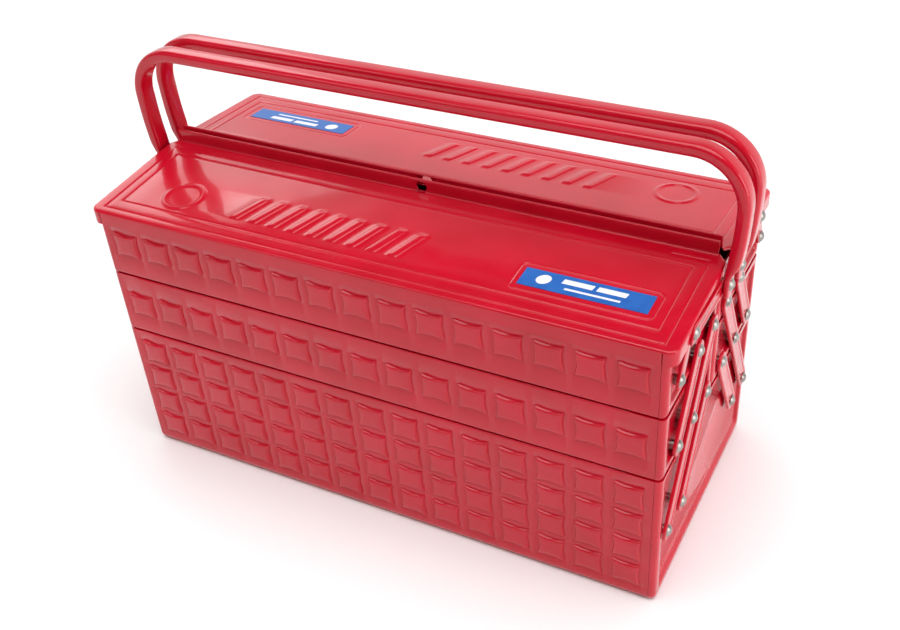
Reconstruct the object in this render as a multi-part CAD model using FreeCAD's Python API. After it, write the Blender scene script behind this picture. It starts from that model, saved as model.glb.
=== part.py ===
import FreeCAD, Part
import math
import os
from FreeCAD import Vector

# Five-compartment cantilever toolbox in folded sheet steel, millimetres.
# Origin: middle of the base's underside. X runs along the length, front is -Y, up is +Z.
# Every piece of the front half is drawn on the right-hand end (+X). The left-hand
# piece is its mirror image, and the rear half is the front half turned about Z.

# ---- driving dimensions -------------------------------------------------
BODY_LENGTH = 420.0      # over the end plates
BODY_DEPTH = 198.0       # front wall to rear wall
BASE_HEIGHT = 111.0
MID_TRAY_TOP = 161.5
TOP_TRAY_TOP = 209.5
STACK_GAP = 0.5          # air between two trays, one above the other
HALF_GAP = 1.0           # from the middle plane to a half tray's inner wall
SHEET = 1.0              # steel sheet of the trays and lids
BEND = 6.0               # outside radius where a wall turns into a floor
END_BEND = 4.2           # outside radius where an end plate wraps round a corner
END_FLANGE = 4.6         # the end plate's lap on the long walls
SEAM = 0.2               # open line beside that lap
RETURN_START = 18.0      # length of wall doubled inside, up to the lap
RETURN_GAP = 0.1         # between the turned-in ends and the dished panel
HEM = 8.0                # folded rim along the long walls

# The dished panel in each end plate, which the links lie over.
DISH_DEPTH = 2.5
DISH_SIDE = 9.0          # rim left at the front and rear of the panel
DISH_FOOT = 8.0
DISH_HEAD = 5.0

# Pivots on the front half as (y, z).
BASE_OUTER = (-85.4, 58.4)
BASE_INNER = (-56.6, 58.4)
MID_MIDDLE = (-46.0, 123.4)
MID_OUTER = (-75.4, 123.8)
TOP_INNER = (-14.2, 175.8)
LID_PIVOT = (-85.0, 184.0)
ARM_RIVET = (-70.0, 209.0)
HANDLE_PIVOT = (-12.0, 207.0)

# Links: shallow channels with their lips turned towards the box.
LINK_WIDTH = 14.0
LINK_INNER_X = 210.3     # lip edge
LINK_WEB_X = 211.4
LINK_OUTER_X = 212.5
LIP = 1.2

# Rivets.
SHANK_R = 2.2
RUNNING_R = 2.28         # hole that turns on a shank
HEAD_R = 4.2
HEAD_H = 2.3
BACK_HEAD_R = 3.6
BACK_HEAD_H = 1.2
SHOULDER_R = 3.4
RUNNING_GAP = 0.05       # beside a head or a shoulder

# Lids.
LID_LENGTH = 429.0
LID_OUTER_Y = -100.5
LID_INNER_Y = -4.5
LID_EDGE_Z = 214.0       # top surface at the outer edge
LID_RISE = 7.5           # from the outer edge up to the flange
LID_SKIRT = 10.5
LID_CORNER = 7.0
LID_EDGE_R = 1.6
SKIRT_END_Y = -18.0      # the end skirts stop short of the handle's foot
LID_CHAMFER = 5.5
FLANGE_HALF = 208.0
FLANGE_HEIGHT = 9.5
PADLOCK_R = 4.0
PADLOCK_RISE = 4.5       # hole centre above the lid at the flange

# Lid ironwork.
HINGE_ARM_X = (211.5, 213.5)
HINGE_ARM_WIDTH = 10.0
BRACKET_X = (214.5, 216.0)
BRACKET_WIDTH = 11.0
BRACKET_TIP = 7.0        # pointed end beyond the rivet

# Handles.
HANDLE_TOP = 300.0
HANDLE_OUTER_X = 228.0
TUBE_THICK = 8.5
TUBE_WIDE = 13.2
TUBE_R = 3.3
HANDLE_BEND = 38.0
FOOT_X = (216.3, 219.5)
LEG_SET = ((242.0, 0.8), (226.0, 2.6))   # height, and how far the leg has drawn in there
FOOT_TOP = 214.0
FOOT_END = 197.0

# Printed label on each lid, in the lid's plane.
LABEL_X = (102.5, 187.0)
LABEL_Y = (-73.0, -56.0)
LABEL_THICK = 0.3

# ---- worked out ---------------------------------------------------------
HALF_LENGTH = BODY_LENGTH / 2
HALF_DEPTH = BODY_DEPTH / 2
DISH_X = HALF_LENGTH - DISH_DEPTH
FLANGE_X = HALF_LENGTH - END_FLANGE
LOWER_STEP = (MID_MIDDLE[0] - BASE_OUTER[0], MID_MIDDLE[1] - BASE_OUTER[1])
UPPER_STEP = (TOP_INNER[0] - MID_MIDDLE[0], TOP_INNER[1] - MID_MIDDLE[1])
MID_INNER = (BASE_INNER[0] + LOWER_STEP[0], BASE_INNER[1] + LOWER_STEP[1])
TOP_OUTER = (MID_OUTER[0] + UPPER_STEP[0], MID_OUTER[1] + UPPER_STEP[1])
LID_SLOPE = LID_RISE / (LID_INNER_Y - LID_OUTER_Y)
X_AXIS = Vector(1, 0, 0)
ORIGIN = Vector(0, 0, 0)


def block(x0, x1, y0, y1, z0, z1):
    """Box from one corner to the opposite one."""
    return Part.makeBox(x1 - x0, y1 - y0, z1 - z0, Vector(x0, y0, z0))


def rod(x0, x1, centre, radius):
    """Cylinder along X about a (y, z) centre."""
    return Part.makeCylinder(radius, x1 - x0, Vector(x0, centre[0], centre[1]), X_AXIS)


def prism(x0, x1, outline):
    """A (y, z) outline carried from x0 to x1."""
    points = [Vector(x0, y, z) for y, z in outline]
    face = Part.Face(Part.makePolygon(points + points[:1]))
    return face.extrude(Vector(x1 - x0, 0, 0))


def strap(x0, x1, start, end, width):
    """Flat bar with round ends, between two (y, z) centres."""
    dy = end[0] - start[0]
    dz = end[1] - start[1]
    length = math.hypot(dy, dz)
    ny = -dz / length * width / 2
    nz = dy / length * width / 2
    side = [
        (start[0] + ny, start[1] + nz),
        (end[0] + ny, end[1] + nz),
        (end[0] - ny, end[1] - nz),
        (start[0] - ny, start[1] - nz),
    ]
    bar = prism(x0, x1, side)
    bar = bar.fuse(rod(x0, x1, start, width / 2))
    bar = bar.fuse(rod(x0, x1, end, width / 2))
    return bar.removeSplitter()


def mirrored(shape):
    """The left-hand piece of a right-hand one."""
    return shape.mirror(ORIGIN, X_AXIS)


def turned(shape):
    """The rear half's piece of a front one."""
    copy = shape.copy()
    copy.rotate(ORIGIN, Vector(0, 0, 1), 180)
    return copy


def edges_where(shape, test):
    """Edges whose two ends and middle all pass the test."""
    chosen = []
    for edge in shape.Edges:
        middle = edge.valueAt((edge.FirstParameter + edge.LastParameter) / 2)
        points = [vertex.Point for vertex in edge.Vertexes] + [middle]
        if all(test(point) for point in points):
            chosen.append(edge)
    return chosen


def near(a, b):
    return abs(a - b) < 1e-4


def trough(x0, x1, y0, y1, z0, z1, bend):
    """Box with its two floor edges rounded along X."""
    body = block(x0, x1, y0, y1, z0, z1)
    floor = edges_where(body, lambda p: near(p.z, z0) and (near(p.y, y0) or near(p.y, y1)))
    return body.makeFillet(bend, floor)


def capped_trough(x0, x1, y0, y1, z0, z1, bend, end_bend):
    """A trough whose edges are also rounded where it closes at x1."""
    body = trough(x0, x1, y0, y1, z0, z1, bend)
    edges = edges_where(body, lambda p: near(p.x, x1))
    edges = [edge for edge in edges if not all(near(v.Z, z1) for v in edge.Vertexes)]
    return body.makeFillet(end_bend, edges)


# ---- trays --------------------------------------------------------------
def tray_shell(y0, y1, z0, z1):
    """Both long walls and the floor, one folded sheet with hemmed rims and turned-in ends."""
    half = FLANGE_X - SEAM
    wall = trough(-half, half, y0, y1, z0, z1, BEND)
    hollow = trough(-half - 1, half + 1, y0 + SHEET, y1 - SHEET, z0 + SHEET, z1 + 1, BEND - SHEET)
    wall = wall.cut(hollow)
    plain = FLANGE_X - RETURN_START
    hems = [block(-plain, plain, y, y + SHEET, z1 - HEM, z1) for y in (y0 + SHEET, y1 - 2 * SHEET)]
    turned_in = end_return(y0, y1, z0, z1)
    return wall.fuse(hems + [turned_in, mirrored(turned_in)]).removeSplitter()


def end_return(y0, y1, z0, z1):
    """Right-hand end of the folded sheet: a second layer that turns in behind the end plate."""
    start = FLANGE_X - RETURN_START
    outer = capped_trough(
        start, HALF_LENGTH - SHEET, y0 + SHEET, y1 - SHEET, z0 + SHEET, z1,
        BEND - SHEET, END_BEND - SHEET)
    inner = capped_trough(
        start - 1, HALF_LENGTH - 2 * SHEET, y0 + 2 * SHEET, y1 - 2 * SHEET, z0 + 2 * SHEET, z1 + 1,
        BEND - 2 * SHEET, END_BEND - 2 * SHEET)
    side = DISH_SIDE - SHEET - RETURN_GAP
    foot = DISH_FOOT - SHEET - RETURN_GAP
    window = block(HALF_LENGTH - 3 * SHEET, HALF_LENGTH, y0 + side, y1 - side, z0 + foot, z1 + 1)
    return outer.cut(inner).cut(window)


def tray_end(y0, y1, z0, z1, pivots):
    """Right-hand end plate: a pan lapped round the long walls, with a dished panel."""
    outer = capped_trough(FLANGE_X, HALF_LENGTH, y0, y1, z0, z1, BEND, END_BEND)
    inner = capped_trough(
        FLANGE_X - 1, HALF_LENGTH - SHEET, y0 + SHEET, y1 - SHEET, z0 + SHEET, z1 + 1,
        BEND - SHEET, END_BEND - SHEET)
    pan = outer.cut(inner)
    foot = z0 + DISH_FOOT
    head = z1 - DISH_HEAD
    behind = block(
        DISH_X - SHEET, HALF_LENGTH - 0.5,
        y0 + DISH_SIDE - SHEET, y1 - DISH_SIDE + SHEET, foot - SHEET, head + SHEET)
    dish = block(DISH_X, HALF_LENGTH + 1, y0 + DISH_SIDE, y1 - DISH_SIDE, foot, head)
    pan = pan.fuse(behind).cut(dish)
    for pivot in pivots:
        pan = pan.cut(rod(DISH_X - 3, DISH_X + 3, pivot, SHANK_R))
    return pan.removeSplitter()


# ---- rivets and links ---------------------------------------------------
def rivet(centre, back_x, seat_x, shoulder=()):
    """Domed rivet: back head, shank, dome on the seat, and a shoulder from x0 to x1 if given."""
    top = seat_x + HEAD_H
    dome_r = (HEAD_R ** 2 + HEAD_H ** 2) / (2 * HEAD_H)
    half_angle = math.asin(HEAD_R / dome_r) / 2
    middle = Vector(
        top - dome_r * (1 - math.cos(half_angle)), dome_r * math.sin(half_angle), 0)
    corners = [
        (back_x - BACK_HEAD_H, 0), (back_x - BACK_HEAD_H, BACK_HEAD_R), (back_x, BACK_HEAD_R),
        (back_x, SHANK_R),
    ]
    for i, x in enumerate(shoulder):
        radii = (SHANK_R, SHOULDER_R) if i == 0 else (SHOULDER_R, SHANK_R)
        corners += [(x, r) for r in radii]
    corners += [(seat_x, SHANK_R), (seat_x, HEAD_R)]
    points = [Vector(x, r, 0) for x, r in corners]
    edges = [Part.LineSegment(a, b).toShape() for a, b in zip(points, points[1:])]
    crown = Vector(top, 0, 0)
    edges.append(Part.Arc(points[-1], middle, crown).toShape())
    edges.append(Part.LineSegment(crown, points[0]).toShape())
    body = Part.Face(Part.Wire(edges)).revolve(ORIGIN, X_AXIS, 360)
    body.translate(Vector(0, centre[0], centre[1]))
    return body


def link_rivet(centre):
    """Rivet in a dished panel, with a link turning on it."""
    shoulder = (DISH_X, LINK_WEB_X - RUNNING_GAP)
    return rivet(centre, DISH_X - SHEET, LINK_OUTER_X + RUNNING_GAP, shoulder)


def lid_pivot_rivet():
    """Rivet that the lid's hinge arm turns on."""
    shoulder = (DISH_X, HINGE_ARM_X[0] - RUNNING_GAP)
    return rivet(LID_PIVOT, DISH_X - SHEET, HINGE_ARM_X[1] + RUNNING_GAP, shoulder)


def link(pivots):
    """Channel link over two or three pivots in line, lips towards the box."""
    bar = strap(LINK_INNER_X, LINK_OUTER_X, pivots[0], pivots[-1], LINK_WIDTH)
    bar = bar.cut(strap(LINK_INNER_X - 1, LINK_WEB_X, pivots[0], pivots[-1], LINK_WIDTH - 2 * LIP))
    for pivot in pivots:
        bar = bar.cut(rod(LINK_INNER_X, LINK_OUTER_X + 1, pivot, RUNNING_R))
    return bar


# ---- lids ---------------------------------------------------------------
def lid_z(y):
    """Height of the lid's top surface."""
    return LID_EDGE_Z + LID_SLOPE * (y - LID_OUTER_Y)


def lid_block(half, y0, y1, drop, depth, corner, edge_r):
    """Sloping block under the lid's top surface, with rounded outer corners."""
    top0 = lid_z(y0) - drop
    top1 = lid_z(y1) - drop
    body = prism(-half, half, [(y0, top0 - depth), (y1, top1 - depth), (y1, top1), (y0, top0)])
    upright = edges_where(body, lambda p: near(p.y, y0) and near(abs(p.x), half))
    body = body.makeFillet(corner, upright)

    def on_rim(point):
        return near(point.z, lid_z(point.y) - drop) and point.y < y1 - 0.01
    rim = [edge for edge in body.Edges
           if on_rim(edge.valueAt((edge.FirstParameter + edge.LastParameter) / 2))]
    return body.makeFillet(edge_r, rim)


def lid_panel():
    """Lid: sloping top, skirt on three sides and an upturned flange at the middle."""
    half = LID_LENGTH / 2
    outside = lid_block(half, LID_OUTER_Y, LID_INNER_Y + SHEET, 0, LID_SKIRT, LID_CORNER, LID_EDGE_R)
    inside = lid_block(
        half - SHEET, LID_OUTER_Y + SHEET, 10, SHEET, LID_SKIRT + 5,
        LID_CORNER - SHEET, LID_EDGE_R - SHEET / 2)
    lid = outside.cut(inside)
    under = prism(-half - 1, half + 1, [
        (SKIRT_END_Y, LID_EDGE_Z - 20), (5, LID_EDGE_Z - 20), (5, lid_z(5) - SHEET),
        (SKIRT_END_Y, lid_z(SKIRT_END_Y) - SHEET)])
    lid = lid.cut(under)
    for side in (-1, 1):
        corner = Part.makePolygon([
            Vector(side * (half + 1), LID_INNER_Y + SHEET + 1, 190),
            Vector(side * (half + 1), LID_INNER_Y + SHEET - LID_CHAMFER - 1, 190),
            Vector(side * (half - LID_CHAMFER - 1), LID_INNER_Y + SHEET + 1, 190),
            Vector(side * (half + 1), LID_INNER_Y + SHEET + 1, 190)])
        lid = lid.cut(Part.Face(corner).extrude(Vector(0, 0, 60)))
    foot = lid_z(LID_INNER_Y)
    flange = block(
        -FLANGE_HALF, FLANGE_HALF, LID_INNER_Y, LID_INNER_Y + SHEET,
        foot - SHEET, foot + FLANGE_HEIGHT)
    lid = lid.fuse(flange)
    hole = Part.makeCylinder(
        PADLOCK_R, 6, Vector(0, LID_INNER_Y - 3, foot + PADLOCK_RISE), Vector(0, 1, 0))
    lid = lid.cut(hole)
    return lid.cut(rod(-half - 3, half + 3, ARM_RIVET, SHANK_R)).removeSplitter()


def hinge_arm():
    """Arm inside the lid's end skirt, which the lid swings on."""
    arm = strap(*HINGE_ARM_X, LID_PIVOT, ARM_RIVET, HINGE_ARM_WIDTH)
    arm = arm.cut(rod(HINGE_ARM_X[0] - 1, HINGE_ARM_X[1] + 1, LID_PIVOT, RUNNING_R))
    return arm.cut(rod(HINGE_ARM_X[0] - 1, HINGE_ARM_X[1] + 1, ARM_RIVET, SHANK_R))


def handle_bracket():
    """Bar outside the lid's end skirt that carries the handle's foot."""
    bar = strap(*BRACKET_X, ARM_RIVET, HANDLE_PIVOT, BRACKET_WIDTH)
    y, z = ARM_RIVET
    half = BRACKET_WIDTH / 2
    tip = prism(*BRACKET_X, [
        (y, z + half), (y - BRACKET_TIP, z - 1), (y - BRACKET_TIP, z - half), (y, z - half)])
    bar = bar.fuse(tip)
    for centre in (ARM_RIVET, HANDLE_PIVOT):
        bar = bar.cut(rod(BRACKET_X[0] - 1, BRACKET_X[1] + 1, centre, SHANK_R))
    return bar.removeSplitter()


def arm_rivet():
    """Fixed rivet through the bracket, the skirt and the hinge arm."""
    return rivet(ARM_RIVET, HINGE_ARM_X[0], BRACKET_X[1])


def handle_rivet():
    """Rivet in the bracket that the handle's foot turns on."""
    return rivet(HANDLE_PIVOT, BRACKET_X[0], FOOT_X[1] + RUNNING_GAP)


def label():
    """Thin printed label lying on the lid."""
    y0, y1 = LABEL_Y
    return prism(*LABEL_X, [
        (y0, lid_z(y0)), (y1, lid_z(y1)), (y1, lid_z(y1) + LABEL_THICK), (y0, lid_z(y0) + LABEL_THICK)])


# ---- handles ------------------------------------------------------------
def rounded_section(x0, x1, z, radius):
    """Horizontal rounded rectangle, as wide in Y as the handle's tube."""
    y0 = HANDLE_PIVOT[0] - TUBE_WIDE / 2
    solid = block(x0, x1, y0, y0 + TUBE_WIDE, z, z + 1)
    solid = solid.makeFillet(radius, edges_where(solid, lambda p: abs(p.z - z - 0.5) < 0.6
                             and near(abs(p.x - (x0 + x1) / 2), (x1 - x0) / 2)
                             and near(abs(p.y - HANDLE_PIVOT[0]), TUBE_WIDE / 2)))
    bottom = min(solid.Faces, key=lambda face: face.CenterOfMass.z)
    return bottom.OuterWire


def bow_face(inset, bend):
    """Upright face under a flat-topped bow, open at the foot of its bends."""
    x = HANDLE_OUTER_X - inset
    top = HANDLE_TOP - inset
    foot = HANDLE_TOP - HANDLE_BEND
    y = HANDLE_PIVOT[0] - TUBE_WIDE / 2
    diagonal = bend * (1 - math.sqrt(0.5))
    edges = [
        Part.LineSegment(Vector(-x, y, foot), Vector(-x, y, top - bend)).toShape()
        if top - bend - foot > 1e-6 else None,
        Part.Arc(Vector(-x, y, top - bend), Vector(-x + diagonal, y, top - diagonal),
                 Vector(-x + bend, y, top)).toShape(),
        Part.LineSegment(Vector(-x + bend, y, top), Vector(x - bend, y, top)).toShape(),
        Part.Arc(Vector(x - bend, y, top), Vector(x - diagonal, y, top - diagonal),
                 Vector(x, y, top - bend)).toShape(),
        Part.LineSegment(Vector(x, y, foot), Vector(-x, y, foot)).toShape(),
    ]
    return Part.Face(Part.Wire([edge for edge in edges if edge]))


def handle():
    """Bow of oval tube whose legs flatten into riveted feet."""
    bow = bow_face(0, HANDLE_BEND).cut(bow_face(TUBE_THICK, HANDLE_BEND - TUBE_THICK))
    bow = bow.extrude(Vector(0, TUBE_WIDE, 0))
    foot = HANDLE_TOP - HANDLE_BEND
    y = HANDLE_PIVOT[0]
    rims = [edge for edge in bow.Edges
            if near(abs(edge.CenterOfMass.y - y), TUBE_WIDE / 2) and edge.CenterOfMass.z > foot + 0.01]
    bow = bow.makeFillet(TUBE_R, rims)
    inner = HANDLE_OUTER_X - TUBE_THICK
    sections = [
        rounded_section(inner, HANDLE_OUTER_X, foot, TUBE_R),
    ]
    for z, drawn_in in LEG_SET:
        sections.append(rounded_section(inner - drawn_in, HANDLE_OUTER_X - drawn_in, z, TUBE_R))
    sections.append(rounded_section(FOOT_X[0], FOOT_X[1], FOOT_TOP, 1.0))
    leg = Part.makeLoft(sections, True, True)
    end_r = TUBE_WIDE / 2
    plate = strap(*FOOT_X, (y, FOOT_END + end_r), (y, FOOT_TOP - 1), TUBE_WIDE)
    plate = plate.common(block(FOOT_X[0], FOOT_X[1], y - 10, y + 10, FOOT_END - 1, FOOT_TOP))
    plate = plate.cut(block(FOOT_X[0] - 1, FOOT_X[1] + 1, y - 10, y + 10, FOOT_TOP - 8, FOOT_TOP + 1))
    neck = block(FOOT_X[0], FOOT_X[1], y - end_r, y + end_r, FOOT_TOP - 8, FOOT_TOP)
    leg = leg.fuse([plate, neck])
    leg = leg.cut(rod(FOOT_X[0] - 1, FOOT_X[1] + 1, HANDLE_PIVOT, RUNNING_R))
    return bow.fuse([leg, mirrored(leg)]).removeSplitter()


# ---- the set of nodes ---------------------------------------------------
def pair_of_ends(shape):
    return Part.makeCompound([mirrored(shape), shape])


def front_half():
    """Every piece of the front half, by its name without the half's own name."""
    y0 = -HALF_DEPTH
    y1 = -HALF_GAP
    trays = {
        "mid_tray": (BASE_HEIGHT + STACK_GAP, MID_TRAY_TOP, (MID_OUTER, MID_MIDDLE, MID_INNER), ()),
        "top_tray": (MID_TRAY_TOP + STACK_GAP, TOP_TRAY_TOP, (TOP_OUTER, TOP_INNER), (LID_PIVOT,)),
    }
    pieces = {}
    for name, (z0, z1, link_pivots, lid_pivots) in trays.items():
        end = tray_end(y0, y1, z0, z1, link_pivots + lid_pivots)
        pieces[name + "_shell"] = tray_shell(y0, y1, z0, z1)
        pieces[name + "_end_left"] = mirrored(end)
        pieces[name + "_end_right"] = end
        rivets = [link_rivet(pivot) for pivot in link_pivots]
        if lid_pivots:
            rivets.append(lid_pivot_rivet())
        pieces[name + "_rivets"] = Part.makeCompound(rivets + [mirrored(r) for r in rivets])
    ends = {
        "long_link": link((BASE_OUTER, MID_MIDDLE, TOP_INNER)),
        "lower_link": link((BASE_INNER, MID_INNER)),
        "upper_link": link((MID_OUTER, TOP_OUTER)),
        "lid_hinge_arm": hinge_arm(),
        "handle_bracket": handle_bracket(),
    }
    for name, shape in ends.items():
        pieces[name + "_left"] = mirrored(shape)
        pieces[name + "_right"] = shape
    pieces["lid_panel"] = lid_panel()
    pieces["lid_label"] = label()
    pieces["lid_arm_rivets"] = pair_of_ends(arm_rivet())
    pieces["handle_rivets"] = pair_of_ends(handle_rivet())
    pieces["handle"] = handle()
    return pieces


def swap_ends(name):
    """A piece on the right becomes one on the left when it is turned about Z."""
    if name.endswith("_left"):
        return name[:-5] + "_right"
    if name.endswith("_right"):
        return name[:-6] + "_left"
    return name


def all_nodes():
    rear = [(-y, z) for y, z in (BASE_OUTER, BASE_INNER)]
    base_pivots = [BASE_OUTER, BASE_INNER] + rear
    end = tray_end(-HALF_DEPTH, HALF_DEPTH, 0, BASE_HEIGHT, base_pivots)
    base_rivets = [link_rivet(pivot) for pivot in base_pivots]
    nodes = {
        "base_shell": tray_shell(-HALF_DEPTH, HALF_DEPTH, 0, BASE_HEIGHT),
        "base_end_left": mirrored(end),
        "base_end_right": end,
        "base_rivets": Part.makeCompound(base_rivets + [mirrored(r) for r in base_rivets]),
    }
    for name, shape in front_half().items():
        nodes["front_" + name] = shape
        nodes["rear_" + swap_ends(name)] = turned(shape)
    return nodes


os.makedirs("parts", exist_ok=True)
for node, shape in all_nodes().items():
    shape.exportStep("parts/" + node + ".step")
    print(node, "solids", len(shape.Solids), "volume", round(shape.Volume, 1), "valid", shape.isValid())
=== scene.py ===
"""Looks of the five-compartment cantilever toolbox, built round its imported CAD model."""
import math

import bmesh
import bpy
from mathutils import Matrix, Vector


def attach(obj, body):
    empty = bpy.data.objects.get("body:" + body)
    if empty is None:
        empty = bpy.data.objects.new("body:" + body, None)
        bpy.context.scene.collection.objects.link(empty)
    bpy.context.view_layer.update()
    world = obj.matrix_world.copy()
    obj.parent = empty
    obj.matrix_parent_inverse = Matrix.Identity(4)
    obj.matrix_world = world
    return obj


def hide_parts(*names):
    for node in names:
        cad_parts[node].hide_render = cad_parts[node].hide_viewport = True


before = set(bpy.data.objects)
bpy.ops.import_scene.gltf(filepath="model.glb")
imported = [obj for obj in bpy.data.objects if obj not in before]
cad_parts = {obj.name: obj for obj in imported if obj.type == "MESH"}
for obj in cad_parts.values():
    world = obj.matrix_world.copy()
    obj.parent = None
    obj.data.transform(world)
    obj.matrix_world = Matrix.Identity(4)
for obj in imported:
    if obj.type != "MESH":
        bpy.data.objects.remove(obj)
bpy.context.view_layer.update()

# Lengths below are millimetres in the CAD's frame: X along the box, front is -Y, up is +Z.
# Every front piece is drawn on the right-hand end, mirrored for the left-hand end, and
# turned half a turn about Z for the rear half.
MM = 0.001

# ---- the box's own dimensions -------------------------------------------
HALF_LENGTH = 210.0
HALF_DEPTH = 99.0
HALF_GAP = 1.0
BASE_HEIGHT = 111.0
MID_TRAY = (111.5, 161.5)
TOP_TRAY = (162.0, 209.5)
SHEET = 1.0
SHEET_EDGE = 0.28             # softening of a cut edge
LINK_EDGE = 0.2
BASE_BEND = 6.0               # between floor and walls
TRAY_BEND = 2.4
END_BEND = 4.2                # round the rim of an end plate
TIGHT_BEND = 1.8              # smallest bend that is left as a rim rolls inwards
FLANGE_X = 205.4              # where an end plate's lapped flange starts
SHELL_X = 205.2               # where the folded sheet's own outer wall stops
RETURN_X = 187.4              # where its hem stops and its turned-in end starts
RETURN_GAP = 0.05             # between the turned-in end and the end plate
HEM = 8.0
HEM_R = 1.03
DISH_X = 207.5                # sunk panel of an end plate, and its margins
DISH_SIDE = 9.0
DISH_FOOT = 8.0
DISH_HEAD = 5.0
DISH_CORNER = 3.2
BASE_DISH_SLOPE = 3.2         # how far its lower edge is drawn out
TRAY_DISH_SLOPE = 1.0

# Embossed pads on the outer walls.
PAD_COUNT = 15
PAD_PITCH = 27.0
PAD_HALF = (11.8, 10.95)      # out to the edge of the fine groove round each pad
PAD_WAIST = 2.0               # how far the middle of each side is drawn in
PAD_RISE = (                  # (distance inside the outline, height)
    (0.0, 0.0), (0.45, -0.2), (0.9, -0.22), (1.25, 0.2), (1.7, 0.85), (2.2, 1.25), (2.9, 1.4),
)
WALL_LINE_GAP = 0.3           # least distance between a wall's grid lines
BASE_PADS = (22.4, 45.8, 69.2, 93.0)
MID_PADS = (137.0,)
TOP_PADS = (188.7,)

# Pivots as (y, z).
BASE_OUTER = (-85.4, 58.4)
BASE_INNER = (-56.6, 58.4)
MID_OUTER = (-75.4, 123.8)
MID_INNER = (-17.2, 123.4)
TOP_INNER = (-14.2, 175.8)
TOP_OUTER = (-43.6, 176.2)
LID_PIVOT = (-85.0, 184.0)
ARM_RIVET = (-70.0, 209.0)
HANDLE_PIVOT = (-12.0, 207.0)

LINK_HALF = 7.0
LINK_X = (210.3, 212.5)
LINK_WEB = 0.48               # how far a link's web is pressed in
HINGE_ARM_X = (211.5, 213.5)
HINGE_ARM_HALF = 5.0
BRACKET_X = (214.5, 216.0)
BRACKET_HALF = 5.5
BRACKET_TIP = 7.0
BRACKET_WEB = 0.45

# Lids.
LID_HALF = 214.5
LID_OUTER_Y = -100.5
LID_INNER_Y = -4.5
LID_EDGE_Z = 214.0
LID_SLOPE = 7.5 / 96.0
LID_SKIRT = 10.5
LID_CORNER = 7.0
LID_EDGE_R = 1.6
LID_RIM = 4.0
RIM_X = LID_HALF - LID_RIM
RIM_Y = LID_OUTER_Y + LID_RIM
CORNER_X = LID_HALF - LID_CORNER
CORNER_Y = LID_OUTER_Y + LID_CORNER
SKIRT_END_Y = -18.0
SKIRT_STUB = 0.15             # what is left of the skirt beyond there
SKIRT_SLIT = (205.4, 206.05)  # open corner between the front skirt and the end skirt
LID_CHAMFER = 5.5
CHAMFER_Y = LID_INNER_Y + SHEET - LID_CHAMFER
CHAMFER_PULL = 0.39           # how far the chamfer draws in the rim's inner line
FLANGE_HALF = 208.0
FLANGE_HEIGHT = 9.5
FLANGE_START_Y = -6.6         # where the lid's top starts to bend up into the flange
FLANGE_BEND_Y = -5.6
FLANGE_FOLD = 1.05            # radius of the fold along the flange's top
FLANGE_HEM = 7.0
PADLOCK_R = 4.0
PADLOCK_RISE = 4.5
PADLOCK_PATCH = PADLOCK_R + 3.0

# Stamping on the lids: frames as (x0, y0, x1, y1), plain slanted ribs and a plain ring.
INNER_FRAME = (-197.3, -84.0, 197.3, -20.3)
OUTER_FRAME = (-205.0, -94.0, 205.0, -19.0)   # open towards the flange
END_CREASE = (181.0, -12.3)                   # from the outer frame in to here
CREASE_DEPTH = 0.42
CREASE_WIDTH = 0.55
LABEL_FRAME = (98.3, -77.2, 191.0, -51.8)
FRAME_CORNER = 4.0
RIB_Y = (-76.0, -48.0)
RIB_X = (-112.0, 28.0)
RIB_COUNT = 9
RIB_WIDTH = 8.0
RIB_LEAN = 0.34
RIB_HEIGHT = 0.65
RIB_BEVEL = 1.5
RING_CENTRE = (-158.0, -65.0)
RING_R = (12.0, 15.5)
LINE_GAP = 0.24               # least distance between the lid's grid lines

# Printing on the label: bars as (centre, half size), all slanted, and a dot.
LABEL_SLANT = 0.18
LABEL_MIDDLE_Y = -64.0
LABEL_BARS = (
    ((138.5, -61.6), (10.0, 2.2)), ((160.5, -61.6), (9.5, 2.2)), ((151.0, -68.2), (18.0, 0.9)),
)
LABEL_DOT_X = 117.0
LABEL_DOT_R = 4.6

# Handles.
HANDLE_TOP = 300.0
HANDLE_X = 228.0
TUBE_THICK = 8.5
TUBE_WIDE = 13.2
TUBE_R = 2.8
HANDLE_BEND = 38.0
FOOT_X = (216.3, 219.5)
FOOT_END = 197.0
FOOT_R = 1.0
SWELL_Z = (211.5, 226.0)      # where the flattened foot swells into the tube
SWELL_DRAWN = 2.6             # how far in the leg still stands at the top of the swell

# ---- the studio, in metres ----------------------------------------------
FLOOR_HALF = 6.0
LENS = 45.88
SHIFT = (-0.0325, 0.0265)
CAMERA_PLACE = (0.35659, -0.59301, 0.61237)
CAMERA_RIGHT = (0.89481, 0.44387, -0.04791)
CAMERA_UP = (-0.23400, 0.55768, 0.79639)
CAMERA_BACK = (0.38022, -0.70141, 0.60288)
BACKDROP = 1.0                # light from behind and beside the box
FRONT_DIM = 0.15              # light from the camera's side
FRONT_FADE = (-0.6, 0.3)
CEILING = 0.12
CEILING_FADE = (0.46, 0.70)
SUN = ((0.1, -0.12, 1.0), 2.65, 60.0)         # direction, strength, spread in degrees
AREA_LIGHTS = (                               # name, place, target, size, power
    ("key", (-1.0, -1.2, 1.5), (0, 0, 0.1), (0.7, 0.7), 3.5),
    ("end_fill", (1.7, -0.2, 0.55), (0.2, 0, 0.1), (1.0, 0.9), 9.0),
    ("left_rear", (-1.7, 1.35, 1.35), (-0.2, 0, 0.2), (0.9, 0.7), 4.0),
)


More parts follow.
